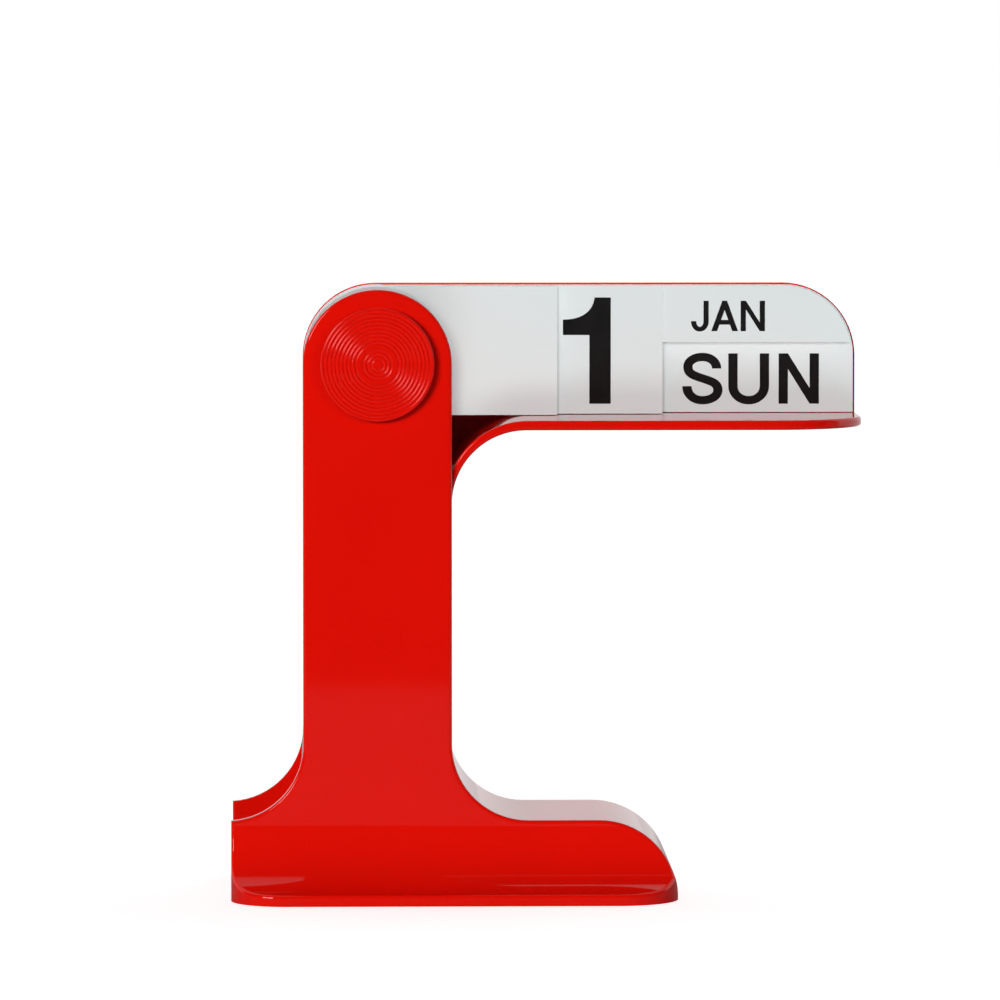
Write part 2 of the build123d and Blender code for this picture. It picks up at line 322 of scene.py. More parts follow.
@dataclass(frozen=True)
class CardStock:
    """White plastic sheet: clean satin face with faint mottling and a fine tooth."""

    name: str = "card_stock"  # the material's name
    colour: Colour = (0.80, 0.815, 0.812)  # colour of the sheet
    shares: Span = (0.975, 1.015)  # least and most of the colour in its mottling
    mottle_scale: float = 35.0  # mottles per metre
    satin: float = 0.42  # roughness of the smoothest places
    satin_spread: float = 0.12  # roughness that the dullest places add
    satin_scale: float = 260.0  # dull places per metre
    tooth: Relief = Relief(2600.0, 0.006 * MM, 0.3)  # fine tooth of the face
    ior: float = 1.46  # index of refraction

    def material(self) -> Material:
        """Builds the material.

        Returns:
            The material.
        """
        bench = Bench(bpy.data.materials.new(self.name))
        where = bench.place()
        mottle = bench.noise(where, self.mottle_scale, octaves=4.0)
        tone = bench.shaded(mottle, self.colour, self.shares)
        dull = bench.noise(where, self.satin_scale, octaves=2.0)
        rough = self.satin + dull * self.satin_spread
        normal = self.tooth.normal(bench, where)
        inputs = {"Base Color": tone, "Roughness": rough, "Normal": normal, "IOR": self.ior}
        return bench.finish(inputs)


@dataclass(frozen=True)
class TurnedSteel:
    """Steel rod turned on a lathe: fine rings round its length, which lies along Y."""

    name: str = "turned_steel"  # the material's name
    colour: Colour = (0.55, 0.56, 0.57)  # colour of the steel
    shares: Span = (0.82, 1.0)  # least and most of the colour in its rings
    ring_scale: Triple = (40.0, 9000.0, 40.0)  # rings per metre along each axis
    smooth: float = 0.22  # roughness of the smoothest rings
    smooth_spread: float = 0.16  # roughness that the dullest rings add
    ridge_height: float = 0.008 * MM  # height of a ring
    ridge_strength: float = 0.5  # how much of it shows

    def material(self) -> Material:
        """Builds the material.

        Returns:
            The material.
        """
        bench = Bench(bpy.data.materials.new(self.name))
        rings = bench.noise(bench.stretched(bench.place(), self.ring_scale), 1.0, octaves=3.0)
        tone = bench.shaded(rings, self.colour, self.shares)
        rough = self.smooth + rings * self.smooth_spread
        normal = bench.bump(rings, self.ridge_height, self.ridge_strength)
        inputs = {"Base Color": tone, "Roughness": rough, "Metallic": 1.0, "Normal": normal}
        return bench.finish(inputs)


@dataclass(frozen=True)
class PrintInk:
    """Black printing ink: slightly uneven cover with a soft sheen."""

    name: str = "print_ink"  # the material's name
    colour: Colour = (0.0045, 0.0042, 0.0044)  # colour of the ink where it is thickest
    shares: Span = (1.0, 2.6)  # share of the colour where the ink is thickest and thinnest
    cover_scale: float = 180.0  # thin places per metre
    sheen: float = 0.38  # roughness where the ink is thickest
    sheen_spread: float = 0.15  # roughness that the thinnest places add
    ior: float = 1.45  # index of refraction

    def material(self) -> Material:
        """Builds the material.

        Returns:
            The material.
        """
        bench = Bench(bpy.data.materials.new(self.name))
        cover = bench.noise(bench.place(), self.cover_scale, octaves=4.0)
        tone = bench.shaded(cover, self.colour, self.shares)
        rough = self.sheen + cover * self.sheen_spread
        return bench.finish({"Base Color": tone, "Roughness": rough, "IOR": self.ior})


@dataclass(frozen=True)
class PaleFloor:
    """Matt white studio sheet that glows a little, so that it meets the white behind it.

    To the object it is a dim sheet in front and a bright one behind.
    """

    name: str = "pale_floor"  # the material's name
    colour: Colour = (0.93, 0.93, 0.93)  # colour that the camera sees
    shares: Span = (0.99, 1.0)  # least and most of the colour in its grain
    grain_scale: float = 8.0  # grains per metre
    bounce: Colour = (0.66, 0.66, 0.66)  # colour that throws light back on the object
    glow: Colour = (0.80, 0.80, 0.80)  # glow that the camera sees
    back_glow: Colour = (0.55, 0.55, 0.55)  # glow that the object sees behind it
    back_range: Span = (0.03, 0.25)  # Y at which that glow starts and is full
    roughness: float = 0.75  # roughness of the sheet

    def material(self) -> Material:
        """Builds the material.

        Returns:
            The material.
        """
        bench = Bench(bpy.data.materials.new(self.name))
        seen, where = bench.seen(), bench.place()
        grain = bench.noise(where, self.grain_scale, octaves=2.0)
        sheet = bench.shaded(grain, self.colour, self.shares)
        behind = bench.carried(bench.axis(where, "Y"), self.back_range, (0.0, 1.0))
        back = bench.blend(behind, BLACK, self.back_glow)
        inputs = {
            "Base Color": bench.blend(seen, self.bounce, sheet),
            "Emission Color": bench.blend(seen, back, self.glow),
            "Emission Strength": 1.0,
            "Roughness": self.roughness,
            "Specular IOR Level": 0.0,
        }
        return bench.finish(inputs)


# Letters and figures

# Headings of a stroke's centre line, in degrees from the line of writing.
RIGHT, UP, LEFT, DOWN = 0.0, 90.0, 180.0, 270.0


@dataclass(frozen=True)
class Band:
    """Flat stroke between two edges with as many points each, one cap high, baseline at 0."""

    left: Array  # points of one edge
    right: Array  # the points across from them
    closed: bool = False  # whether the last pair joins the first

    def turned(self, width: float) -> "Band":
        """The stroke turned half round in a sign of a width: (x, y) becomes (width - x, 1 - y)."""
        corner = np.array([width, 1.0])
        return Band(corner - self.left, corner - self.right, self.closed)

    def mirrored(self, middle: float) -> "Band":
        """The stroke on the other side of an upright line at x = middle."""
        base, flip = np.array([2 * middle, 0.0]), np.array([-1.0, 1.0])
        return Band(base + flip * self.left, base + flip * self.right, self.closed)

    def shifted(self, along: float) -> "Band":
        """The stroke moved along the line of writing."""
        step = np.array([along, 0.0])
        return Band(self.left + step, self.right + step, self.closed)


Sign = tuple[float, list[Band]]


@dataclass(frozen=True)
class Alphabet:
    """Plain upright capitals and figures without serifs, drawn for this part."""

    stem: float  # thickness of upright strokes, in cap heights
    bar: float  # thickness of level strokes, in cap heights
    squareness: float = 0.575  # handle length of round strokes, where 0.5523 gives an ellipse
    steps: int = 14  # points along each stretch of a round stroke
    # How far round strokes pass the cap line and the baseline, in cap heights.
    overshoot: float = 0.012
    slant: float = 0.555  # half the level width of a single slanted stroke, in stems
    leg: float = 1.1  # level width of a leg of A or V, in stems
    tip: float = 0.46  # half the width of the flat point where two legs meet, in stems

    def path(self, nodes: Sequence[Triple], closed: bool = False) -> tuple[Array, Array]:
        """Smooth line through nodes.

        Each stretch is the cubic curve from one node to the next, with handles along the headings
        whose length is squareness times the chord's share in that heading.

        Args:
            nodes: (x, y, heading in degrees) along the line.
            closed: whether the line returns to its first node.

        Returns:
            The points, and the direction of one unit's length at each.
        """
        table = np.array(nodes + nodes[:1] if closed else nodes, float)
        spot, angle = table[:, :2], np.radians(table[:, 2])
        way = np.stack([np.cos(angle), np.sin(angle)], axis=1)
        chord = spot[1:] - spot[:-1]
        reach_out = self.squareness * np.abs(np.sum(chord * way[:-1], axis=1, keepdims=True))
        reach_in = self.squareness * np.abs(np.sum(chord * way[1:], axis=1, keepdims=True))
        handles = [spot[:-1] + reach_out * way[:-1], spot[1:] - reach_in * way[1:]]
        knots = [spot[:-1], *handles, spot[1:]]
        t = np.linspace(0.0, 1.0, self.steps + 1)[:-1, None]
        u = 1 - t
        weights = [u**3, 3 * t * u**2, 3 * t**2 * u, t**3]
        slopes = [-3 * u**2, 3 * u**2 - 6 * t * u, 6 * t * u - 3 * t**2, 3 * t**2]
        line = sum(w[None] * k[:, None] for w, k in zip(weights, knots)).reshape(-1, 2)
        course = sum(s[None] * k[:, None] for s, k in zip(slopes, knots)).reshape(-1, 2)
        if not closed:
            line = np.vstack([line, spot[-1]])
            course = np.vstack([course, way[-1]])
        return line, course / np.linalg.norm(course, axis=1, keepdims=True)

    def bow(self, *nodes: Triple, closed: bool = False) -> Band:
        """Round stroke along a path.

        The edges lie half a thickness to each side, where the thickness is the length of
        (stem * sine, bar * cosine) of the heading.

        Args:
            nodes: (x, y, heading in degrees) of the centre line.
            closed: whether the path returns to its first node.

        Returns:
            The stroke.
        """
        line, course = self.path(nodes, closed)
        half = 0.5 * np.hypot(self.stem * course[:, 1], self.bar * course[:, 0])[:, None]
        side = np.stack([-course[:, 1], course[:, 0]], axis=1)
        return Band(line + half * side, line - half * side, closed)

    def bowl(self, places: Triple, heights: Triple) -> Band:
        """Round stroke that leaves a stem and comes back to it, as in D.

        Args:
            places: x of both ends, of the ends of the level stretches and of the outermost place.
            heights: of the upper stretch, the outermost place and the lower stretch.

        Returns:
            The stroke.
        """
        (start, turn, far), (high, level, low) = places, heights
        out = (start, high, RIGHT), (turn, high, RIGHT)
        back = (turn, low, LEFT), (start, low, LEFT)
        return self.bow(*out, (far, level, DOWN), *back)

    def ring(self, places: Triple, heights: Triple) -> Band:
        """Closed round stroke, as in O.

        Args:
            places: x of the leftmost place, of the top and foot, and of the rightmost place.
            heights: of the top, the outermost places and the foot.

        Returns:
            The stroke.
        """
        (near, middle, far), (high, level, low) = places, heights
        left_half = (middle, high, LEFT), (near, level, DOWN)
        right_half = (middle, low, RIGHT), (far, level, UP)
        return self.bow(*left_half, *right_half, closed=True)

    def sway(self, *nodes: Triple) -> Band:
        """Slanted stroke with level ends, a little over one stem wide measured level."""
        line, step = self.path(nodes)[0], np.array([self.slant * self.stem, 0.0])
        return Band(line - step, line + step)

    def plate(self, *pairs: tuple[float, float, float, float]) -> Band:
        """Straight-edged stroke through pairs of edge points (left x, left y, right x, right y)."""
        table = np.array(pairs, float)
        return Band(table[:, :2], table[:, 2:])

    def upright(self, x: float, low: float = 0.0, high: float = 1.0) -> Band:
        """Upright stem with its left side at x."""
        return self.plate((x, low, x + self.stem, low), (x, high, x + self.stem, high))

    def level(self, start: float, end: float, low: float) -> Band:
        """Level bar with its lower side at low."""
        return self.plate((start, low + self.bar, start, low), (end, low + self.bar, end, low))

    def wedge(self, start: float, end: float, mouth: float, point: float) -> list[Band]:
        """Two slanted legs that meet in a flat point, as in V.

        The outer edges run from (start, mouth) and (end, mouth) to the flat point, and the inner
        edges run beside them to the middle.

        Args:
            start: outer x of the left leg at the mouth.
            end: outer x of the right leg at the mouth.
            mouth: height of the open side.
            point: height of the flat point.

        Returns:
            The two legs.
        """
        nearly_there = 0.97
        middle = (start + end) / 2
        flat = self.tip * self.stem
        cut = self.leg * self.stem
        lean = (middle - flat - start) / (point - mouth)
        crotch = mouth + (middle - start - cut) / lean
        near = mouth + nearly_there * (crotch - mouth)
        inner = (start + cut + lean * (near - mouth), near)
        left = self.plate(
            (start, mouth, start + cut, mouth),
            (middle - flat, point, *inner),
            (middle, point, middle, crotch),
        )
        return [left, left.mirrored(middle)]

    def sign(self, letter: str) -> Sign:
        """One letter or figure.

        Args:
            letter: the capital or figure.

        Returns:
            Its width and its strokes.
        """
        draw = {**self.straight_letters(), **self.round_letters(), **self.figures()}
        return draw[letter]

    def letter_a(self) -> Sign:
        """Letter A: a wedge, and a bar whose ends follow the legs' inner edges.

        Returns:
            Its width and its strokes.
        """
        width, bar_low = 0.88, 0.215
        lean = width / 2 - self.tip * self.stem
        bar_high = bar_low + self.bar
        upper, lower = (self.leg * self.stem + lean * height for height in (bar_high, bar_low))
        bar = self.plate(
            (upper, bar_high, lower, bar_low),
            (width - upper, bar_high, width - lower, bar_low),
        )
        return width, [*self.wedge(0.0, width, 0.0, 1.0), bar]

    def letter_m(self) -> Sign:
        """Letter M: two stems, and two legs whose lower edges leave the stems at a cut's height.

        Returns:
            Its width and its strokes.
        """
        width, cut, step = 0.97, 0.63, 0.1
        stem, middle = self.stem, width / 2
        leg = 1.15 * stem
        foot = middle - self.tip * stem
        lean = (foot - stem) / cut
        head = stem + leg - lean * (1 - cut)
        crotch = (foot + leg - middle) / lean
        left = self.plate(
            (stem, cut, stem, 1.0),
            (stem + step * lean, cut - step, head, 1.0),
            (foot, 0.0, middle - step / 2 * lean, crotch + step / 2),
            (middle, 0.0, middle, crotch),
        )
        stems = [self.upright(0.0), self.upright(width - stem)]
        return width, [*stems, left, left.mirrored(middle)]

    def letter_n(self) -> Sign:
        """Letter N: two stems and a slanted stroke between them.

        Returns:
            Its width and its strokes.
        """
        width, stem = 0.80, self.stem
        drop = 1.68 * stem
        slope = self.plate((stem, 1 - drop, stem, 1.0), (width - stem, 0.0, width - stem, drop))
        return width, [self.upright(0.0), self.upright(width - stem), slope]

    def straight_letters(self) -> dict[str, Sign]:
        """Letters of stems, bars and slanted legs.

        Returns:
            The width and the strokes of each.
        """
        w, t = self.stem, self.bar
        back, mid, top = self.upright(0.0), 0.5 - t / 2, 1 - t
        e_bars = [self.level(w, 0.74, 0.0), self.level(w, 0.70, mid), self.level(w, 0.73, top)]
        return {
            "A": self.letter_a(),
            "E": (0.74, [back, *e_bars]),
            "F": (0.69, [back, self.level(w, 0.65, mid - 0.01), self.level(w, 0.69, top)]),
            "H": (0.80, [back, self.upright(0.80 - w), self.level(w, 0.80 - w, mid)]),
            "I": (w, [back]),
            "L": (0.69, [back, self.level(w, 0.69, 0.0)]),
            "M": self.letter_m(),
            "N": self.letter_n(),
            "T": (0.80, [self.upright(0.40 - w / 2, 0.0, top), self.level(0.0, 0.80, top)]),
            "V": (0.88, self.wedge(0.0, 0.88, 1.0, 0.0)),
            "W": (1.27, [*self.wedge(0.0, 0.67, 1.0, 0.0), *self.wedge(0.60, 1.27, 1.0, 0.0)]),
            "Y": (0.88, [*self.wedge(0.0, 0.88, 1.0, 0.40), self.upright(0.44 - w / 2, 0.0, 0.41)]),
        }

    def round_letters(self) -> dict[str, Sign]:
        """Letters with round strokes.

        Returns:
            The width and the strokes of each.
        """
        w, t = self.stem, self.bar
        near, back = w / 2, self.upright(0.0)
        flat_top, flat_foot = 1 - t / 2, t / 2
        top, foot = flat_top + self.overshoot, flat_foot - self.overshoot
        p_bowl = self.bowl((w, 0.44, 0.75 - near), (flat_top, 0.715, 0.43))
        b_head = self.bowl((w, 0.42, 0.74 - near), (flat_top, 0.755, 0.52))
        b_foot = self.bow(
            (0.42, 0.52, RIGHT), (0.79 - near, 0.27, DOWN), (0.42, flat_foot, LEFT),
            (w, flat_foot, LEFT),
        )
        c_bow = self.bow(
            (0.84 - near, 0.67, UP), (0.44, top, LEFT), (near, 0.5, DOWN), (0.44, foot, RIGHT),
            (0.86 - near, 0.35, UP),
        )
        d_bowl = self.bowl((w, 0.38, 0.82 - near), (flat_top, 0.5, flat_foot))
        g_bow = self.bow(
            (0.86 - near, 0.69, UP), (0.45, top, LEFT), (near, 0.5, DOWN), (0.44, foot, RIGHT),
            (0.80 - near, 0.38, UP),
        )
        g_edge = 0.89 - w * 0.8
        g_stem = self.plate((g_edge, 0.0, 0.89, 0.0), (g_edge, 0.38 + t, 0.89, 0.38 + t))
        j_bow = self.bow(
            (near, 0.33, DOWN), (0.285, foot, RIGHT), (0.58 - near, 0.32, UP),
            (0.58 - near, 1.0, UP),
        )
        s_bow = self.bow(
            (0.775 - near, 0.70, UP), (0.40, top, LEFT), (near + 0.02, 0.735, DOWN),
            (0.40, 0.505, 342.0), (0.80 - near, 0.27, DOWN), (0.40, foot, LEFT), (near, 0.35, UP),
        )
        u_bow = self.bow(
            (near, 1.0, DOWN), (near, 0.36, DOWN), (0.405, foot, RIGHT), (0.81 - near, 0.36, UP),
            (0.81 - near, 1.0, UP),
        )
        r_leg = self.sway((0.47, 0.43, 300.0), (0.80 - self.slant * w, 0.0, 300.0))
        return {
            "B": (0.79, [back, b_head, b_foot]),
            "C": (0.86, [c_bow]),
            "D": (0.82, [back, d_bowl]),
            "G": (0.89, [g_bow, self.level(0.48, g_edge, 0.38), g_stem]),
            "J": (0.58, [j_bow]),
            "O": (0.92, [self.ring((near, 0.46, 0.92 - near), (top, 0.5, foot))]),
            "P": (0.75, [back, p_bowl]),
            "R": (0.80, [back, p_bowl, r_leg]),
            "S": (0.80, [s_bow]),
            "U": (0.81, [u_bow]),
        }

    def figures(self) -> dict[str, Sign]:
        """Figures 0 to 9, all as high as the capitals.

        Returns:
            The width and the strokes of each.
        """
        w, t = self.stem, self.bar
        top, foot = 1 - t / 2 + self.overshoot, t / 2 - self.overshoot
        near, far, mid = w / 2, 0.685 - w / 2, 0.3425
        six = [
            self.ring((near, mid, far), (0.60, 0.315, foot)),
            self.bow(
                (far - 0.02, 0.755, UP), (mid + 0.02, top, LEFT), (near, 0.47, DOWN),
                (near, 0.315, DOWN),
            ),
        ]
        two_bow = self.bow(
            (near, 0.655, UP), (mid, top, RIGHT), (far, 0.70, DOWN), (0.40, 0.405, 220.0),
            (near, t * 0.6, DOWN),
        )
        three_head = self.bow(
            (near + 0.01, 0.705, UP), (mid, top, RIGHT), (far - 0.025, 0.755, DOWN),
            (mid, 0.525, LEFT), (0.235, 0.525, LEFT),
        )
        three_foot = self.bow(
            (mid, 0.525, RIGHT), (far, 0.285, DOWN), (mid, foot, LEFT), (near, 0.305, UP)
        )
        four = [
            self.plate((0.0, 0.22 + t, 0.205, 0.22 + t), (0.375, 1.0, 0.375, 0.66)),
            self.upright(0.375),
            self.level(0.0, 0.375, 0.22),
            self.level(0.375 + w, 0.70, 0.22),
        ]
        five_neck = self.plate(
            (0.10, 1 - t, 0.10 + 0.80 * w, 1 - t), (0.03, 0.45, 0.03 + 0.93 * w, 0.45)
        )
        five_bow = self.bow(
            (0.125, 0.52, 45.0), (mid + 0.01, 0.575, RIGHT), (far, 0.315, DOWN),
            (mid - 0.01, foot, LEFT), (near, 0.285, UP),
        )
        seven_leg = self.sway(
            (0.69 - self.slant * w, 1 - t, 240.0), (0.36, 0.36, 249.0), (0.27, 0.0, 264.0)
        )
        eight = [
            self.ring((near + 0.025, 0.345, 0.665 - near), (top, 0.755, 0.53)),
            self.ring((near, 0.345, 0.69 - near), (0.53, 0.285, foot)),
        ]
        return {
            "0": (0.685, [self.ring((near, mid, far), (top, 0.5, foot))]),
            "1": self.figure_one(),
            "2": (0.68, [self.level(0.0, 0.68, 0.0), two_bow]),
            "3": (0.68, [three_head, three_foot]),
            "4": (0.70, four),
            "5": (0.68, [self.level(0.10, 0.63, 1 - t), five_neck, five_bow]),
            "6": (0.685, six),
            "7": (0.69, [self.level(0.0, 0.69, 1 - t), seven_leg]),
            "8": (0.69, eight),
            "9": (0.685, [band.turned(0.685) for band in six]),
        }

    def figure_one(self) -> Sign:
        """Figure 1: a stem, and a flag whose upper edge sweeps up into the stem's top.

        Returns:
            Its width and its strokes.
        """
        width, flag_low = 0.451, 0.647
        sweep = self.bow((0.0, 0.792, RIGHT), (0.298, 1.0, 84.0))
        edge = (sweep.left + sweep.right) / 2
        side = width - self.stem
        lift = np.interp(side, edge[:, 0], edge[:, 1])
        flag = np.vstack([edge[edge[:, 0] < side], [side, lift]])
        under = np.stack([flag[:, 0], np.full(len(flag), flag_low)], axis=1)
        left = np.vstack([[side, 0.0], [side, lift], edge[edge[:, 0] > side]])
        right = np.stack([np.full(len(left), width), left[:, 1]], axis=1)
        return width, [Band(flag, under), Band(left, right)]


# Share of the full space that a sign takes on its left and on its right. Upright sides take all
# of it, and round, open and slanted sides take less.
FULL_SIDES: Span = (1.0, 1.0)
SIDES: dict[str, Span] = {
    **dict.fromkeys("ATVWY", (-0.1, -0.1)),
    **dict.fromkeys("BDER", (1.0, 0.4)),
    **dict.fromkeys("LP", (1.0, 0.1)),
    "C": (0.4, 0.3),
    "F": (1.0, 0.0),
    "G": (0.4, 0.9),
    "J": (0.3, 1.0),
    "O": (0.4, 0.4),
    "S": (0.2, 0.2),
}


@dataclass(frozen=True)
class Printer:
    """Lays a line of signs on a card's front as thin raised ink."""

    alphabet: Alphabet  # the letter form
    ink: Material  # finish of the print
    gap: float = 0.19  # space between two upright sides, in cap heights
    thickness: float = 0.03 * MM  # how far the first stroke's ink stands out
    # How much further out each next stroke stands, so that no two share a face.
    step: float = 0.003 * MM

    def line(self, text: str) -> Sign:
        """Sets signs side by side.

        Args:
            text: the capitals or figures.

        Returns:
            The line's width and all its strokes, in cap heights.
        """
        pen = 0.0
        bands: list[Band] = []
        for before, letter in zip(" " + text, text):
            if bands:
                share = SIDES.get(before, FULL_SIDES)[1] + SIDES.get(letter, FULL_SIDES)[0]
                pen += self.gap * share / 2
            width, strokes = self.alphabet.sign(letter)
            bands += [stroke.shifted(pen) for stroke in strokes]
            pen += width
        return pen, bands

    def slab(
        self, band: Band, cap: float, corner: Span, face_y: float, height: float
    ) -> tuple[Array, list[Array]]:
        """Closed slab over one stroke.

        The surface is a function of the place along the stroke and of four places round its
        section: left and right edge on the ink's face, then right and left edge on the card.

        Args:
            band: the stroke.
            cap: cap height.
            corner: x and z of the line's lower left corner, from the pivot.
            face_y: Y of the card's front.
            height: how far the ink stands out.

        Returns:
            The points, and the faces as arrays of point numbers.
        """
        count = len(band.left)
        edges = np.stack([band.left, band.right, band.right, band.left], axis=1)
        edges = edges * cap + np.array(corner)
        depth = np.broadcast_to(np.array([-height, -height, 0.0, 0.0]) + face_y, (count, 4))
        points = np.stack([edges[..., 0], depth, edges[..., 1]], axis=-1).reshape(-1, 3)
        number = np.arange(count * 4).reshape(count, 4)
        ahead = np.roll(number, -1, axis=0)
        corners = [number, np.roll(number, -1, axis=1), np.roll(ahead, -1, axis=1), ahead]
        quads = np.stack(corners, axis=-1)
        faces = [(quads if band.closed else quads[:-1]).reshape(-1, 4)]
        if not band.closed:
            faces.append(np.stack([number[0], number[-1, ::-1]]))
        return points, faces

    def lay(
        self, text: str, card: str, cap: float, corner: Span, swing: float, name: str
    ) -> bpy.types.Object:
        """Prints a line on a card and lets it ride on the card's body.

        Args:
            text: the capitals or figures.
            card: the card's node and body.
            cap: cap height.
            corner: x and z of the line's lower left corner from the pivot, on the shelf.
            swing: the card's turn from the shelf to its place at rest, in radians.
            name: the new piece's name.

        Returns:
            The new piece.
        """
        face_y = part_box(card)[0].y
        all_points, all_faces, start = [], [], 0
        for layer, band in enumerate(self.line(text)[1]):
            height = self.thickness + layer * self.step
            points, faces = self.slab(band, cap, corner, face_y, height)
            all_points.append(points)
            all_faces += [group + start for group in faces]
            start += len(points)
        cosine, sine = math.cos(swing), math.sin(swing)
        turn = np.array([[cosine, 0.0, -sine], [0.0, 1.0, 0.0], [sine, 0.0, cosine]])
        placed = np.vstack(all_points) @ turn.T + np.array([PIVOT.x, 0.0, PIVOT.z])
        mesh = bpy.data.meshes.new(name)
        mesh.from_pydata(placed.tolist(), [], np.vstack(all_faces).tolist())
        outward(mesh)
        mesh.materials.append(self.ink)
        piece = bpy.data.objects.new(name, mesh)
        bpy.context.scene.collection.objects.link(piece)
        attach(piece, card)
        return piece


def outward(mesh: bpy.types.Mesh) -> None:
    """Turns faces outwards.

    Args:
        mesh: a closed mesh.
    """
    work = bmesh.new()
    work.from_mesh(mesh)
    bmesh.ops.recalc_face_normals(work, faces=work.faces)
    work.to_mesh(mesh)
    work.free()


def dress(nodes: Sequence[str], material: Material) -> None:
    """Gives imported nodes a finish.

    Args:
        nodes: the nodes' names.
        material: the finish.
    """
    for name in nodes:
        for place in frame["nodes"][name].material_slots:
            place.material = material
        LOG.info("dressed %s in %s", name, material.name)


# Sub-assemblies


@dataclass
class Stand:
    """The two bonded red mouldings."""

    finish: MouldedGloss = MouldedGloss("stand_red")
    nodes: tuple[str, ...] = ("front_shell", "rear_shell")

    def build(self) -> None:
        """Dresses both mouldings."""
        dress(self.nodes, self.finish.material())


@dataclass
class Pivot:
    """Pin, ridged discs and sleeves."""

    disc_finish: MouldedGloss = MouldedGloss("disc_red", gloss=0.13)
    disc_nodes: tuple[str, ...] = ("front_disc", "rear_disc", "front_sleeve", "rear_sleeve")
    pin_finish: TurnedSteel = TurnedSteel()
    pin_nodes: tuple[str, ...] = ("pivot_pin",)

    def build(self) -> None:
        """Dresses the turning pieces."""
        dress(self.disc_nodes, self.disc_finish.material())
        dress(self.pin_nodes, self.pin_finish.material())


class Align(Enum):
    """How a line of print sits on its reference place, as the share of it to the left."""

    LEFT = 0.0
    CENTRE = 0.5
    RIGHT = 1.0


@dataclass
class CardSet:
    """Cards of one size that differ only in their print."""

    prefix: str  # start of the cards' names after card_
    shown: str  # the card that lies on the shelf at rest
    signs: dict[str, str]  # print of each card, by the end of its name
    alphabet: Alphabet  # letter form
    align: Align  # how the line sits on the reference
    cap: float  # cap height
    reference: float  # x from the pivot that the line is aligned to
    baseline: float  # z from the pivot
    # The printed lines, once they are built.
    pieces: list[bpy.types.Object] = field(default_factory=list)

    def heading(self, node: str) -> float:
        """Direction from the pivot to the middle of a card's surface.

        It is the mean of the triangles' centres, weighted with their areas.

        Args:
            node: the card's node.

        Returns:
            The angle from +X towards +Z, in radians.
        """
        mesh = frame["nodes"][node].data
        areas = np.empty(len(mesh.polygons))
        centres = np.empty(len(mesh.polygons) * 3)
        mesh.polygons.foreach_get("area", areas)
        mesh.polygons.foreach_get("center", centres)
        middle = (centres.reshape(-1, 3) * areas[:, None]).sum(axis=0) / areas.sum()
        return math.atan2(middle[2] - PIVOT.z, middle[0] - PIVOT.x)

    def build(self, stock: Material, ink: Material) -> None:
        """Dresses the cards and prints them.

        Args:
            stock: finish of the cards.
            ink: finish of the print.
        """
        printer = Printer(self.alphabet, ink)
        lying = self.heading(f"card_{self.prefix}_{self.shown}")
        for key, text in self.signs.items():
            card = f"card_{self.prefix}_{key}"
            dress((card,), stock)
            if not text:
                continue
            width = printer.line(text)[0] * self.cap
            corner = (self.reference - width * self.align.value, self.baseline)
            name = f"print_{self.prefix}_{key}"
            swing = self.heading(card) - lying
            self.pieces.append(printer.lay(text, card, self.cap, corner, swing, name))
            LOG.info("printed %s", name)


def upper_case(keys: str) -> dict[str, str]:
    """What each card prints, where its name ends in the same small letters."""
    return {key: key.upper() for key in keys.split()}


def card_sets() -> list[CardSet]:
    """The four sets of cards, front to back.

    Returns:
        The sets.
    """
    figures = Alphabet(stem=0.2015, bar=0.168)
    month_words = Alphabet(stem=0.172, bar=0.155)
    weekday_words = Alphabet(stem=0.185, bar=0.165)
    tens = {"blank": "", **upper_case("1 2 3")}
    units = upper_case("0 1 2 3 4 5 6 7 8 9")
    months = upper_case("jan feb mar apr may jun jul aug sep oct nov dec")
    weekdays = upper_case("sun mon tue wed thu fri sat")
    # The last three are the cap height, the reference and the baseline, in millimetres.
    table = [
        ("tens", "blank", tens, figures, Align.RIGHT, 29.0, 47.4, -12.45),
        ("units", "1", units, figures, Align.LEFT, 29.0, 50.9, -12.45),
        ("month", "jan", months, month_words, Align.LEFT, 8.3, 85.9, 7.3),
        ("weekday", "sun", weekdays, weekday_words, Align.CENTRE, 13.8, 102.6, -12.9),
    ]
    return [CardSet(*row[:5], *(size * MM for size in row[5:])) for row in table]


# Studio


@dataclass(frozen=True)
class Lamp:
    """Soft rectangular lamp that faces the calendar."""

    name: str  # its name
    place: Triple  # where it stands
    size: Span  # width and height
    power: float  # in watts
    tint: Colour = WHITE  # its colour
    aim: Triple = (0.0, 0.0, 0.08)  # what it faces

    def build(self, lit: Pieces = (), screens: Pieces = ()) -> None:
        """Makes the lamp.

        A lamp that lights nothing in particular only shows as a highlight, on every piece.

        Args:
            lit: the pieces that it lights.
            screens: the pieces that throw its shadows, where not all do.
        """
        lamp = bpy.data.lights.new(self.name, "AREA")
        lamp.shape = "RECTANGLE"
        lamp.size, lamp.size_y = self.size
        lamp.energy = self.power
        lamp.color = self.tint
        holder = bpy.data.objects.new(self.name, lamp)
        holder.location = self.place
        line = Vector(self.aim) - Vector(self.place)
        holder.rotation_euler = line.to_track_quat("-Z", "Y").to_euler()
        holder.visible_glossy = not lit
        holder.visible_diffuse = bool(lit)
        bpy.context.scene.collection.objects.link(holder)
        if lit:
            holder.light_linking.receiver_collection = self.group("lit", lit)
        if screens:
            holder.light_linking.blocker_collection = self.group("screens", screens)

    def group(self, use: str, pieces: Pieces) -> bpy.types.Collection:
        """Collects pieces.

        Args:
            use: what the lamp does with them.
            pieces: the pieces.

        Returns:
            The collection.
        """
        collection = bpy.data.collections.new(f"{self.name}_{use}")
        for piece in pieces:
            collection.objects.link(piece)
        return collection


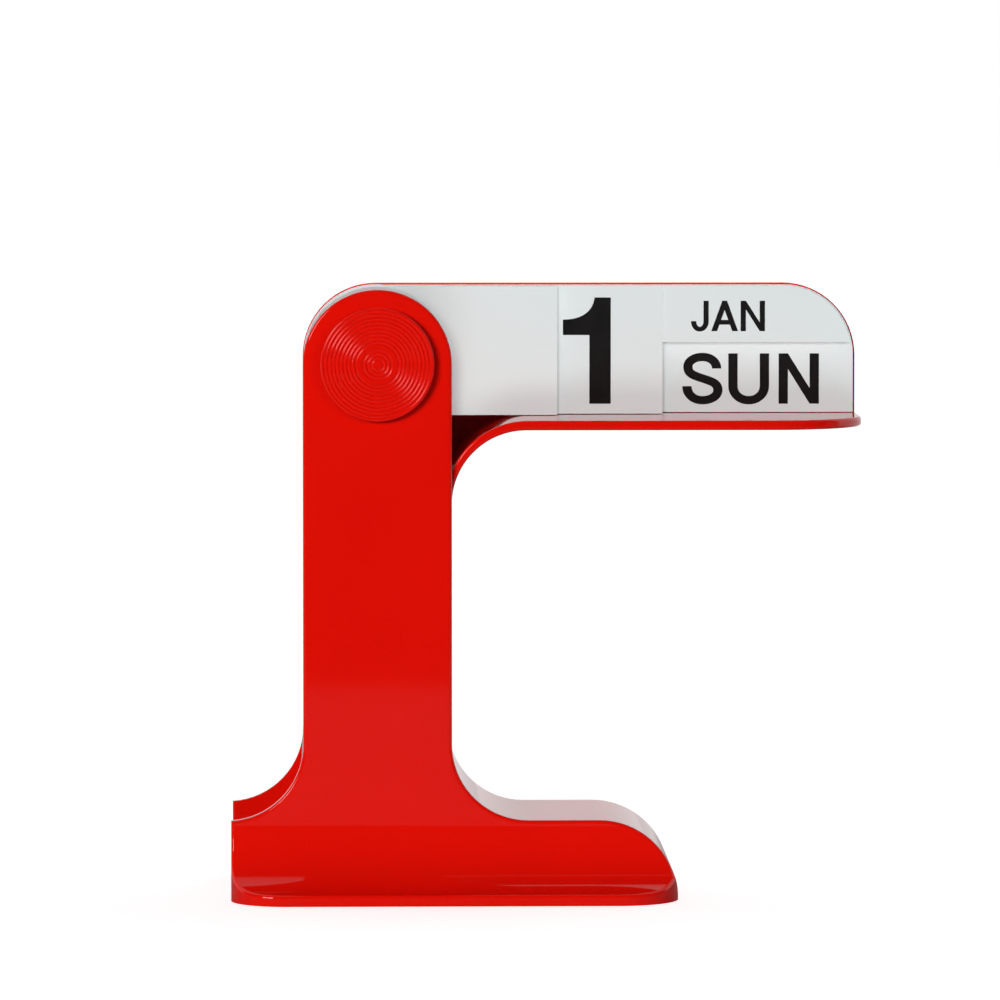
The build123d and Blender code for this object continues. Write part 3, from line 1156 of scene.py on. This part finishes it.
@dataclass(frozen=True)
class WhiteRoom:
    """World light: white from behind, darker above, dark in front, and plain white to look at."""

    name: str = "white_room"  # the world's name
    depth_range: Span = (0.0, 0.16)  # Y of a direction at which the white starts and is full
    depth_light: Span = (0.018, 0.92)  # light in front and behind
    height_range: Span = (0.1, 1.0)  # Z of a direction over which the light changes
    height_light: Span = (1.0, 0.55)  # factor on it low down and overhead
    side_range: Span = (-0.6, 0.6)  # X of a direction over which the light changes
    side_light: Span = (0.75, 1.05)  # factor on it at the left and at the right

    def build(self) -> None:
        """Makes the world and sets it."""
        world = bpy.data.worlds.new(self.name)
        bench = Bench(world)
        direction = bench.make("ShaderNodeTexCoord", output="Generated")
        x, y, z = (bench.axis(direction, letter) for letter in "XYZ")
        behind = bench.carried(y, self.depth_range, self.depth_light, smooth=True)
        above = bench.carried(z, self.height_range, self.height_light)
        rightwards = bench.carried(x, self.side_range, self.side_light)
        lit = behind * above * rightwards
        inputs = {0: bench.seen(), 2: lit, 3: 1.0}
        shade = bench.make("ShaderNodeMix", {"data_type": "FLOAT"}, inputs)
        glow = bench.make("ShaderNodeBackground", {}, {"Color": (*WHITE, 1.0), "Strength": shade})
        bench.make("ShaderNodeOutputWorld", {}, {"Surface": glow})
        bpy.context.scene.world = world


@dataclass
class Studio:
    """White table sheet, soft lamps and a white room behind the object that is dark in front."""

    floor_finish: PaleFloor = PaleFloor()  # finish of the sheet
    room: WhiteRoom = WhiteRoom()  # the world light
    front_edge: float = -0.675  # Y of the sheet's straight front edge
    back_edge: float = 9.0  # Y of its back edge
    side_reach: float = 6.0  # how far it reaches to each side
    card_tint: Colour = (0.92, 1.0, 1.0)  # colour of the lamps that light the cards from in front

    def floor(self) -> None:
        """Flat sheet on the ground, from the front edge to far behind."""
        left, right = -self.side_reach, self.side_reach
        front, back = self.front_edge, self.back_edge
        corners = [(left, front, 0.0), (right, front, 0.0), (right, back, 0.0), (left, back, 0.0)]
        mesh = bpy.data.meshes.new("studio_floor")
        mesh.from_pydata(corners, [], [(0, 1, 2, 3)])
        mesh.materials.append(self.floor_finish.material())
        sheet = bpy.data.objects.new("studio_floor", mesh)
        bpy.context.scene.collection.objects.link(sheet)

    def build(self, mouldings: Pieces, cards: Pieces) -> None:
        """Sets up the floor, the lamps, the room and the view's tones.

        Args:
            mouldings: the stand and the pivot, lit from both sides in front.
            cards: the cards and their print, lit from straight in front and from behind.
        """
        self.floor()
        Lamp("highlight", (-1.45, -1.60, 0.98), (0.80, 0.80), 13.0).build()
        Lamp("left_soft", (-1.14, -2.08, 0.54), (0.90, 0.60), 50.0).build(mouldings)
        Lamp("right_soft", (1.35, -1.93, 0.50), (0.80, 0.60), 12.0).build(mouldings)
        front = Lamp("front_soft", (-0.05, -2.35, 0.33), (0.60, 0.45), 39.0, self.card_tint)
        front.build(cards)
        low = Lamp("low_soft", (-0.02, -1.00, -0.14), (0.50, 0.26), 2.6, self.card_tint)
        low.build(cards, [*mouldings, *cards])
        Lamp("back_soft", (-0.80, 0.90, 1.50), (0.90, 0.60), 24.0).build(cards)
        self.room.build()
        view = bpy.context.scene.view_settings
        view.view_transform = "Standard"
        view.look = "None"
        view.exposure = 0.0


@dataclass
class Viewpoint:
    """Long lens straight in front of the calendar, a little above it."""

    place: Triple = (-0.0655, -2.0875, 0.2405)  # where the camera stands
    yaw: float = 1.452  # turn to the right, in degrees
    pitch: float = 3.69  # tilt downwards, in degrees
    lens_share: float = 7.70  # focal length in sensor widths
    sensor: float = 36.0  # sensor width in millimetres
    clip: Span = (0.05, 60.0)  # nearest and farthest distance that shows

    def build(self) -> None:
        """Makes the camera and sets it."""
        data = bpy.data.cameras.new("viewpoint")
        data.sensor_width = self.sensor
        data.lens = self.lens_share * self.sensor
        data.clip_start, data.clip_end = self.clip
        camera = bpy.data.objects.new("viewpoint", data)
        camera.location = self.place
        camera.rotation_euler = (math.radians(90.0 - self.pitch), 0.0, math.radians(-self.yaw))
        bpy.context.scene.collection.objects.link(camera)
        bpy.context.scene.camera = camera


def main() -> None:
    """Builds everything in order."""
    logging.basicConfig(level=logging.INFO, format="%(message)s")
    Viewpoint().build()
    Stand().build()
    Pivot().build()
    stock, ink = CardStock().material(), PrintInk().material()
    cards: list[bpy.types.Object] = []
    mouldings: list[bpy.types.Object] = []
    for card_set in card_sets():
        card_set.build(stock, ink)
        cards += card_set.pieces
    for name, node in frame["nodes"].items():
        (cards if name.startswith("card_") else mouldings).append(node)
    Studio().build(mouldings, cards)


if __name__ == "__main__":
    main()
